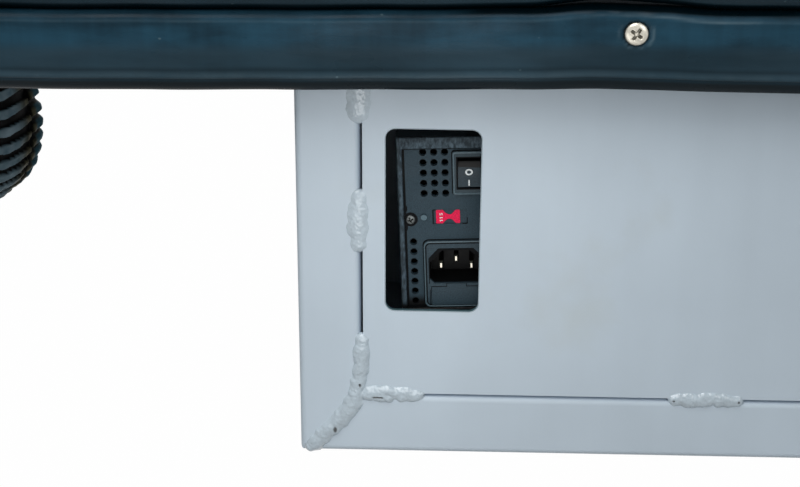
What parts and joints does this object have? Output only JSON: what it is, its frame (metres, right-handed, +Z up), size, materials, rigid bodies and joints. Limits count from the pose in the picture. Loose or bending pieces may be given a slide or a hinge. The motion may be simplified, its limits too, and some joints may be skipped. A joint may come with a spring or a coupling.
{
  "type": "reflow oven",
  "caption": "Drawer-type batch reflow oven on a castored cart with rubber bumper strips and a welded power box under the rear.",
  "frame": {"origin": "on the floor under the centre of the cart's footprint", "axes": "+Z up, the drawer and the controls face -Y, the power box and its mains inlet face +Y"},
  "size_m": [1.06, 0.58, 0.79],
  "materials": {
    "cart_steel": "satin dark paint",
    "bumper_rubber": "glossy dark blue-black extrusion",
    "screw_steel": "nickel plated",
    "zinc_steel": "zinc plated",
    "tyre_rubber": "matt black rubber",
    "rim_metal": "satin grey",
    "box_paint": "satin light blue-grey paint",
    "weld": "glossy painted weld bead",
    "unit_case": "black powder texture",
    "unit_screw": "black zinc",
    "switch_plastic": "moulded black",
    "rocker_plastic": "moulded black",
    "slider_red": "red",
    "inlet_plastic": "moulded black",
    "pin_metal": "nickel plated brass",
    "fuse_glass": "clear",
    "body_paint": "satin light blue-grey paint",
    "front_paint": "satin pale grey paint",
    "wool": "mineral wool board",
    "stainless": "brushed",
    "quartz": "frosted",
    "ceramic": "white ceramic",
    "motor_black": "black",
    "window_glass": "tinted",
    "display_dark": "dark screen",
    "board_green": "solder mask",
    "button_grey": "moulded",
    "button_green": "moulded",
    "stop_yellow": "moulded",
    "stop_red": "moulded"
  },
  "bodies": {
    "cart": {"deck_frame": "cart_steel", "deck_plate": "cart_steel", "castor_beams": "cart_steel", "cross_rail": "cart_steel", "lower_bumper": "bumper_rubber", "upper_bumper": "bumper_rubber", "bumper_screws": "screw_steel", "castor_plates": "zinc_steel", "rear_forks": "zinc_steel", "power_box_frame": "box_paint", "power_box_panel": "box_paint", "weld_beads": "weld", "power_box_cover": "box_paint", "unit_housing": "unit_case", "unit_screws": "unit_screw", "rocker_frame": "switch_plastic", "selector_frame": "switch_plastic", "inlet_body": "inlet_plastic", "inlet_pins": "pin_metal", "unit_bracket": "zinc_steel", "casing": "body_paint", "top_panel": "body_paint", "rear_panel": "body_paint", "front_panel": "front_paint", "chamber_stands": "zinc_steel", "insulation": "wool", "chamber": "stainless", "lamps": "quartz", "lamp_holders": "ceramic", "fan_motor": "motor_black", "exhaust_collar": "stainless", "fixed_runners": "zinc_steel", "display": "display_dark", "controller_board": "board_green", "stop_base": "stop_yellow", "panel_screws": "screw_steel"},
    "front_left_swivel": {"front_left_fork": "zinc_steel"},
    "front_right_swivel": {"front_right_fork": "zinc_steel"},
    "front_left_wheel": {"front_left_tyre": "tyre_rubber", "front_left_rim": "rim_metal"},
    "front_right_wheel": {"front_right_tyre": "tyre_rubber", "front_right_rim": "rim_metal"},
    "rear_left_wheel": {"rear_left_tyre": "tyre_rubber", "rear_left_rim": "rim_metal"},
    "rear_right_wheel": {"rear_right_tyre": "tyre_rubber", "rear_right_rim": "rim_metal"},
    "switch_rocker": {"rocker": "rocker_plastic"},
    "voltage_slider": {"selector_slider": "slider_red"},
    "fuse_holder": {"fuse_drawer": "inlet_plastic", "fuse": "fuse_glass"},
    "fan": {"fan_wheel": "stainless"},
    "drawer": {"drawer_front": "front_paint", "drawer_window": "window_glass", "drawer_handle": "stainless", "drawer_tray": "stainless", "sliding_runners": "zinc_steel"},
    "up_key": {"up_button": "button_grey"},
    "start_key": {"start_button": "button_green"},
    "down_key": {"down_button": "button_grey"},
    "stop_key": {"stop_button": "stop_red"}
  },
  "joints": [
    {"name": "front_left_swivel_turn", "type": "hinge", "parent": "cart", "child": "front_left_swivel", "pos_m": [-0.42, -0.1628, 0.175], "axis": [0, 0, 1], "continuous": true},
    {"name": "front_right_swivel_turn", "type": "hinge", "parent": "cart", "child": "front_right_swivel", "pos_m": [0.42, -0.1628, 0.175], "axis": [0, 0, 1], "continuous": true},
    {"name": "front_left_wheel_spin", "type": "hinge", "parent": "front_left_swivel", "child": "front_left_wheel", "pos_m": [-0.44681, -0.1853, 0.075], "axis": [0.6428, -0.766, 0], "continuous": true},
    {"name": "front_right_wheel_spin", "type": "hinge", "parent": "front_right_swivel", "child": "front_right_wheel", "pos_m": [0.44681, -0.1853, 0.075], "axis": [0.6428, 0.766, 0], "continuous": true},
    {"name": "rear_left_wheel_spin", "type": "hinge", "parent": "cart", "child": "rear_left_wheel", "pos_m": [-0.42, 0.161, 0.075], "axis": [1, 0, 0], "continuous": true},
    {"name": "rear_right_wheel_spin", "type": "hinge", "parent": "cart", "child": "rear_right_wheel", "pos_m": [0.42, 0.161, 0.075], "axis": [1, 0, 0], "continuous": true},
    {"name": "drawer_slide", "type": "slide", "parent": "cart", "child": "drawer", "axis": [0, -1, 0], "range_m": [0, 0.3]},
    {"name": "fan_spin", "type": "hinge", "parent": "cart", "child": "fan", "pos_m": [-0.135, 0.22, 0.535], "axis": [0, 1, 0], "continuous": true},
    {"name": "rocker_tilt", "type": "hinge", "parent": "cart", "child": "switch_rocker", "pos_m": [0.06781, 0.252, 0.19114], "axis": [-0.9992, 0, 0.0401], "range_deg": [0, 14]},
    {"name": "selector_slide", "type": "slide", "parent": "cart", "child": "voltage_slider", "axis": [-0.9992, 0, 0.0401], "range_m": [0, 0.0026]},
    {"name": "fuse_drawer_slide", "type": "slide", "parent": "cart", "child": "fuse_holder", "axis": [0, 1, 0], "range_m": [0, 0.006]},
    {"name": "up_press", "type": "slide", "parent": "cart", "child": "up_key", "axis": [0, 1, 0], "range_m": [0, 0.0015], "stiffness_N_per_m": 300, "springref_m": -0.0005},
    {"name": "start_press", "type": "slide", "parent": "cart", "child": "start_key", "axis": [0, 1, 0], "range_m": [0, 0.0015], "stiffness_N_per_m": 300, "springref_m": -0.0005},
    {"name": "down_press", "type": "slide", "parent": "cart", "child": "down_key", "axis": [0, 1, 0], "range_m": [0, 0.0015], "stiffness_N_per_m": 300, "springref_m": -0.0005},
    {"name": "stop_press", "type": "slide", "parent": "cart", "child": "stop_key", "axis": [0, 1, 0], "range_m": [0, 0.006], "stiffness_N_per_m": 500, "springref_m": -0.001}
  ]
}
